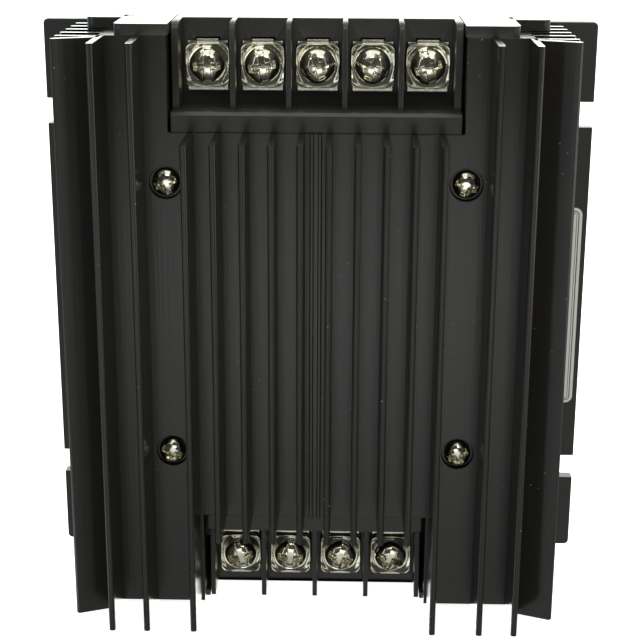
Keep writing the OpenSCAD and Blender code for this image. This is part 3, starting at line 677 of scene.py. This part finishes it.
def screw_tree(name, rings, spokes):
    """A pan head with crossed driver slots, over a shank with a rolled thread. Its axis is Y."""
    tree, start, end = geometry_tree(name, {
        "Head Radius": 0.003, "Head Height": 0.002, "Shank Radius": 0.0015, "Length": 0.006, "Pitch": 0.0005,
        "Slot": 0.0009, "Slot Length": 0.006, "Cross": 0.0009, "Cross Length": 0.004, "Depth": 0.001,
        "Turn": 0.0, "Seat": (0.0, 0.0, 0.0)})
    size = start.outputs
    sheet, ring, spoke = polar_sheet(tree, rings, spokes)
    radius = math_node(tree, "MULTIPLY", size["Head Radius"],
                       math_node(tree, "SINE", math_node(tree, "MULTIPLY", ring, math.pi / 2)))
    angle = math_node(tree, "MULTIPLY", spoke, 2 * math.pi)
    x = math_node(tree, "MULTIPLY", radius, math_node(tree, "COSINE", angle))
    z = math_node(tree, "MULTIPLY", radius, math_node(tree, "SINE", angle))
    share = math_node(tree, "MINIMUM", math_node(tree, "DIVIDE", radius, size["Head Radius"]), 1.0)
    dome = math_node(tree, "POWER",
                     math_node(tree, "SUBTRACT", 1.0001, math_node(tree, "POWER", share, 3.2)), 0.46)
    height = math_node(tree, "MULTIPLY", dome, size["Head Height"])
    edge = 0.00009
    slot = math_node(tree, "MULTIPLY",
                     smooth_band(tree, z, math_node(tree, "MULTIPLY", size["Slot"], 0.5), edge),
                     smooth_band(tree, x, math_node(tree, "MULTIPLY", size["Slot Length"], 0.5), 0.0003))
    cross = math_node(tree, "MULTIPLY",
                      smooth_band(tree, x, math_node(tree, "MULTIPLY", size["Cross"], 0.5), edge),
                      smooth_band(tree, z, math_node(tree, "MULTIPLY", size["Cross Length"], 0.5), 0.0003))
    recess = math_node(tree, "MINIMUM",
                       math_node(tree, "MULTIPLY", math_node(tree, "MAXIMUM", slot, cross), size["Depth"]),
                       math_node(tree, "MULTIPLY", height, 0.8))
    head = moved(tree, sheet, vector_of(tree, x, math_node(tree, "SUBTRACT", recess, height), z))
    under = add(tree, "GeometryNodeMeshCircle", fill_type="NGON")
    under.inputs["Vertices"].default_value = spokes
    tree.links.new(size["Head Radius"], under.inputs["Radius"])
    flat = tree.nodes.new("GeometryNodeTransform")
    flat.inputs["Rotation"].default_value = (-math.pi / 2, 0, 0)
    tree.links.new(under.outputs["Mesh"], flat.inputs["Geometry"])
    around_shank = 24
    thread_sheet, along, around = polar_sheet(tree, 80, around_shank)
    depth_y = math_node(tree, "MULTIPLY", along, size["Length"])
    turns = math_node(tree, "SUBTRACT", math_node(tree, "DIVIDE", depth_y, size["Pitch"]), around)
    ridge = math_node(tree, "PINGPONG", turns, 0.5)
    shank = math_node(tree, "MULTIPLY", size["Shank Radius"],
                      math_node(tree, "SUBTRACT", 1.0, math_node(tree, "MULTIPLY", ridge, 0.3)))
    tip = math_node(tree, "SUBTRACT", 1.0,
                    math_node(tree, "MULTIPLY", 0.35, math_node(tree, "POWER", along, 24)))
    shank = math_node(tree, "MULTIPLY", shank, tip)
    around_angle = math_node(tree, "MULTIPLY", around, -2 * math.pi)
    thread = moved(tree, thread_sheet, vector_of(
        tree, math_node(tree, "MULTIPLY", shank, math_node(tree, "COSINE", around_angle)), depth_y,
        math_node(tree, "MULTIPLY", shank, math_node(tree, "SINE", around_angle))))
    end_disc = add(tree, "GeometryNodeMeshCircle", fill_type="NGON")
    end_disc.inputs["Vertices"].default_value = around_shank
    tree.links.new(math_node(tree, "MULTIPLY", size["Shank Radius"], 0.62), end_disc.inputs["Radius"])
    end_flat = tree.nodes.new("GeometryNodeTransform")
    end_flat.inputs["Rotation"].default_value = (-math.pi / 2, 0, 0)
    tree.links.new(end_disc.outputs["Mesh"], end_flat.inputs["Geometry"])
    tree.links.new(vector_of(tree, 0.0, size["Length"], 0.0), end_flat.inputs["Translation"])
    together = tree.nodes.new("GeometryNodeJoinGeometry")
    for shape in (head, flat.outputs["Geometry"], thread, end_flat.outputs["Geometry"]):
        tree.links.new(shape, together.inputs["Geometry"])
    welded = add(tree, "GeometryNodeMergeByDistance")
    welded.inputs["Distance"].default_value = 0.000002
    tree.links.new(together.outputs["Geometry"], welded.inputs["Geometry"])
    turned = tree.nodes.new("GeometryNodeTransform")
    tree.links.new(welded.outputs["Geometry"], turned.inputs["Geometry"])
    tree.links.new(vector_of(tree, 0.0, size["Turn"], 0.0), turned.inputs["Rotation"])
    tree.links.new(size["Seat"], turned.inputs["Translation"])
    finish_tree(tree, start, end, turned.outputs["Geometry"])
    return tree


def outward(piece, sharp_at=40):
    """Turns a closed piece's faces outwards, and marks its sharp edges."""
    work = bmesh.new()
    work.from_mesh(piece.data)
    bmesh.ops.recalc_face_normals(work, faces=work.faces)
    work.to_mesh(piece.data)
    work.free()
    piece.data.shade_smooth()
    piece.data.set_sharp_from_angle(angle=math.radians(sharp_at))
    return piece


rings, spokes = 44, 96
terminal_screws = screw_tree("terminal_screw", rings, spokes)
poles = ["t1", "t2", "t3", "t4", "t5", "b1", "b2", "b3", "b4"]
driver_turns = dict(zip(poles, (88, 79, -23, 26, 72, 76, -85, -70, 22)))
head_h = 2.6 * MM
for pole in poles:
    node = "terminal_screw_" + pole
    low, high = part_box(node)
    middle = (low + high) / 2
    screw = grown(node + "_finished", terminal_screws, bright_nickel, **{
        "Head Radius": (high.x - low.x) / 2, "Head Height": head_h, "Shank Radius": 1.75 * MM,
        "Length": high.y - low.y - head_h, "Slot": 1.4 * MM, "Slot Length": 8 * MM, "Cross": 1.3 * MM,
        "Cross Length": 5 * MM, "Depth": 1.5 * MM, "Turn": math.radians(driver_turns[pole]),
        "Seat": (middle.x, low.y + head_h, middle.z)})
    place_piece(outward(screw), node, bright_nickel, "nickel_plated_steel", node)


# ---- Clamp washers ----
# Square washers pressed from thin steel and nickel plated. A round die leaves the middle flat and
# turns the edges and the cut corners up a little, and the walls of the cell stop them turning.

washer_t = 0.8 * MM
hole_radius = 1.9 * MM


def washer_tree():
    """A square plate with cut corners that curl up. Its axis is Y, and its free side faces -Y."""
    tree, start, end = geometry_tree("clamp_washer", {
        "Half Width": 0.0043, "Hole Radius": 0.0016, "Corner": 0.0053, "Curl": 0.0005, "Thickness": 0.0008,
        "Seat": (0.0, 0.0, 0.0)})
    size = start.outputs
    sheet, ring, spoke = polar_sheet(tree, 22, 96)
    angle = math_node(tree, "MULTIPLY", spoke, 2 * math.pi)
    cosine, sine = math_node(tree, "COSINE", angle), math_node(tree, "SINE", angle)
    widest = math_node(tree, "MAXIMUM", math_node(tree, "ABSOLUTE", cosine),
                       math_node(tree, "ABSOLUTE", sine))
    to_side = math_node(tree, "DIVIDE", size["Half Width"], widest)
    diagonal = math_node(tree, "MULTIPLY", math_node(tree, "ADD", math_node(tree, "ABSOLUTE", cosine),
                                                     math_node(tree, "ABSOLUTE", sine)),
                         math.sqrt(0.5))
    to_corner = math_node(tree, "DIVIDE", size["Corner"], diagonal)
    rim = math_node(tree, "SMOOTH_MIN", to_side, to_corner, 0.0004)
    radius = math_node(tree, "ADD", size["Hole Radius"],
                       math_node(tree, "MULTIPLY", ring,
                                 math_node(tree, "SUBTRACT", rim, size["Hole Radius"])))
    x = math_node(tree, "MULTIPLY", radius, cosine)
    z = math_node(tree, "MULTIPLY", radius, sine)
    curl = add(tree, "ShaderNodeMapRange")
    curl.interpolation_type = "SMOOTHSTEP"
    tree.links.new(radius, curl.inputs["Value"])
    tree.links.new(math_node(tree, "MULTIPLY", size["Half Width"], 0.84), curl.inputs["From Min"])
    tree.links.new(size["Corner"], curl.inputs["From Max"])
    tree.links.new(size["Curl"], curl.inputs["To Max"])
    face = moved(tree, sheet,
                 vector_of(tree, x, math_node(tree, "MULTIPLY", curl.outputs["Result"], -1.0), z))
    seated = tree.nodes.new("GeometryNodeTransform")
    tree.links.new(face, seated.inputs["Geometry"])
    tree.links.new(size["Seat"], seated.inputs["Translation"])
    welded = add(tree, "GeometryNodeMergeByDistance")
    welded.inputs["Distance"].default_value = 0.000002
    tree.links.new(seated.outputs["Geometry"], welded.inputs["Geometry"])
    finish_tree(tree, start, end, welded.outputs["Geometry"])
    return tree


clamp_washers = washer_tree()
for pole in poles:
    node = "clamp_washer_" + pole
    low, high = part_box(node)
    middle = (low + high) / 2
    washer = grown(node + "_finished", clamp_washers, bright_nickel, **{
        "Half Width": (high.x - low.x) / 2, "Hole Radius": hole_radius, "Corner": 5.6 * MM,
        "Curl": high.y - low.y - washer_t, "Seat": (middle.x, high.y - washer_t, middle.z)})
    work = bmesh.new()
    work.from_mesh(washer.data)
    bmesh.ops.recalc_face_normals(work, faces=work.faces)
    if sum(face.normal.y for face in work.faces) > 0:
        bmesh.ops.reverse_faces(work, faces=work.faces)
    work.to_mesh(washer.data)
    work.free()
    wall = washer.modifiers.new("wall", "SOLIDIFY")
    wall.thickness = washer_t
    wall.offset = -1
    rounded(washer, 0.12 * MM, 2, 50)
    place_piece(outward(washer, 30), node, bright_nickel, "nickel_plated_steel", node)


# ---- Heat sink screws ----
# Four M3 cross-head screws, nickel plated, in counterbores in the flat channels. They pull the
# clamp bars onto the power modules inside.

channel_head_h = 2.1 * MM
channel_screws = screw_tree("channel_screw", 36, 80)
screw_pieces = bmesh.new()
for side in (-1, 1):
    for i, z in enumerate(screw_zs):
        one = grown("channel_screw", channel_screws, bright_nickel, **{
            "Head Radius": head_radius, "Head Height": channel_head_h, "Shank Radius": 1.5 * MM,
            "Length": screw_high.y - screw_low.y - channel_head_h, "Slot": 1.1 * MM, "Slot Length": 4 * MM,
            "Cross": 1.1 * MM, "Cross Length": 4 * MM, "Depth": 1.5 * MM,
            "Turn": math.radians(side * 20 + i * 45),
            "Seat": (side * screw_x, screw_low.y + channel_head_h, z)})
        outward(one)
        screw_pieces.from_mesh(one.data)
        bpy.data.objects.remove(one)
screw_mesh = bpy.data.meshes.new("channel_screws")
screw_pieces.to_mesh(screw_mesh)
screw_pieces.free()
screw_mesh.set_sharp_from_angle(angle=math.radians(40))
place_piece(mesh_object("channel_screws", screw_mesh), "relay", bright_nickel, "nickel_plated_steel",
            "heat_sink_screws")


# ---- Hidden parts and plain fasteners ----
# The CAD solids of the parts inside the sink, and the flush screws, keep their shapes and get
# the finish of the real part.

inner_finishes = {
    "zinc_plated_steel": surface("zinc_plating", (0.5, 0.5, 0.48), (0.66, 0.66, 0.63), 0.3, 0.08, 300, 2200,
                                 metal=1.0),
    "black_steel": surface("black_zinc", (0.02, 0.02, 0.02), (0.05, 0.05, 0.05), 0.35, 0.08, 300, 2200,
                           metal=0.6),
    "green_circuit_board": surface("solder_mask", (0.01, 0.1, 0.035), (0.02, 0.17, 0.07), 0.25, 0.08, 220,
                                   900),
    "fish_paper": surface("pressed_paper", (0.55, 0.5, 0.34), (0.7, 0.64, 0.46), 0.75, 0.08, 400, 3000),
    "module_epoxy": surface("moulded_epoxy", (0.02, 0.02, 0.022), (0.045, 0.045, 0.05), 0.5, 0.08, 200,
                            2600),
    "white_ceramic": surface("fired_alumina", (0.7, 0.7, 0.67), (0.84, 0.84, 0.81), 0.5, 0.1, 200, 3000),
    "copper": surface("bare_copper", (0.55, 0.25, 0.13), (0.78, 0.42, 0.24), 0.28, 0.1, 250, 2000,
                      metal=1.0),
    "blue_epoxy": surface("dipped_epoxy", (0.02, 0.06, 0.25), (0.04, 0.11, 0.38), 0.25, 0.08, 180, 700),
    "yellow_film_box": surface("capacitor_case", (0.6, 0.42, 0.06), (0.74, 0.55, 0.1), 0.35, 0.08, 160,
                               1500),
    "tan_cement": surface("cement_coat", (0.36, 0.3, 0.2), (0.5, 0.43, 0.31), 0.8, 0.1, 500, 2600),
    "white_optocoupler": surface("white_mould", (0.68, 0.68, 0.66), (0.8, 0.8, 0.78), 0.5, 0.08, 200, 2600),
    "nickel_plated_brass": nickel,
}
replaced = {"mounting_plate", "heat_sink", "top_cap", "bottom_cap", "top_terminal_block",
            "bottom_terminal_block", "top_terminal_plates", "bottom_terminal_plates", "heat_sink_screws"}
slot_of = {entry["node"]: entry["material_slot"] for entry in frame["record"]["subparts"]}
for node, piece in frame["nodes"].items():
    if slot_of[node] in inner_finishes and node not in replaced:
        piece.data.materials.clear()
        piece.data.materials.append(inner_finishes[slot_of[node]])


# ---- Label ----
# A silver film label on the right-hand strip of the plate. It has a printed double border and
# rounded corners, and its field is left blank.

label_low, label_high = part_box("label")
label_middle = (label_low + label_high) / 2
label_half = (label_high - label_low) / 2


def label_film():
    """Silver film with two thin dark lines that follow its edge."""
    material, tree, shader = new_material("silver_film")
    shader.inputs["Metallic"].default_value = 0.1
    shader.inputs["Roughness"].default_value = 0.45
    centred = add(tree, "ShaderNodeMapping", vector_type="POINT")
    centred.inputs["Location"].default_value = -label_middle
    tree.links.new(add(tree, "ShaderNodeTexCoord").outputs["Object"], centred.inputs["Vector"])
    place = add(tree, "ShaderNodeSeparateXYZ")
    tree.links.new(centred.outputs["Vector"], place.inputs[0])
    corner = 1.6 * MM
    inward = []
    for axis, half in (("X", label_half.x), ("Z", label_half.z)):
        inward.append(math_node(tree, "SUBTRACT", math_node(tree, "ABSOLUTE", place.outputs[axis]),
                                half - corner))
    outside = math_node(tree, "SQRT", math_node(tree, "ADD", *(
        math_node(tree, "POWER", math_node(tree, "MAXIMUM", value, 0.0), 2.0) for value in inward)))
    inside = math_node(tree, "MINIMUM", math_node(tree, "MAXIMUM", *inward), 0.0)
    edge = math_node(tree, "SUBTRACT", corner, math_node(tree, "ADD", outside, inside))
    lines = None
    for depth, width in ((0.75 * MM, 0.1 * MM), (1.2 * MM, 0.06 * MM)):
        line = math_node(tree, "COMPARE", edge, depth, width)
        lines = line if lines is None else math_node(tree, "MAXIMUM", lines, line)
    brushed = add(tree, "ShaderNodeTexNoise", Scale=700.0, Detail=2.0)
    tree.links.new(centred.outputs["Vector"], brushed.inputs["Vector"])
    tint = add(tree, "ShaderNodeValToRGB")
    tint.color_ramp.elements[0].color = (0.8, 0.81, 0.82, 1)
    tint.color_ramp.elements[1].color = (0.92, 0.93, 0.94, 1)
    tree.links.new(brushed.outputs["Fac"], tint.inputs["Fac"])
    printed = add(tree, "ShaderNodeMix", data_type="RGBA")
    tree.links.new(lines, printed.inputs["Factor"])
    tree.links.new(tint.outputs["Color"], printed.inputs[6])
    printed.inputs[7].default_value = (0.03, 0.03, 0.03, 1)
    tree.links.new(printed.outputs[2], shader.inputs["Base Color"])
    return material


label = broken_edges("label", "label_film", 0.05 * MM, 1)
place_piece(label, "relay", label_film(), "silver_label", "label")
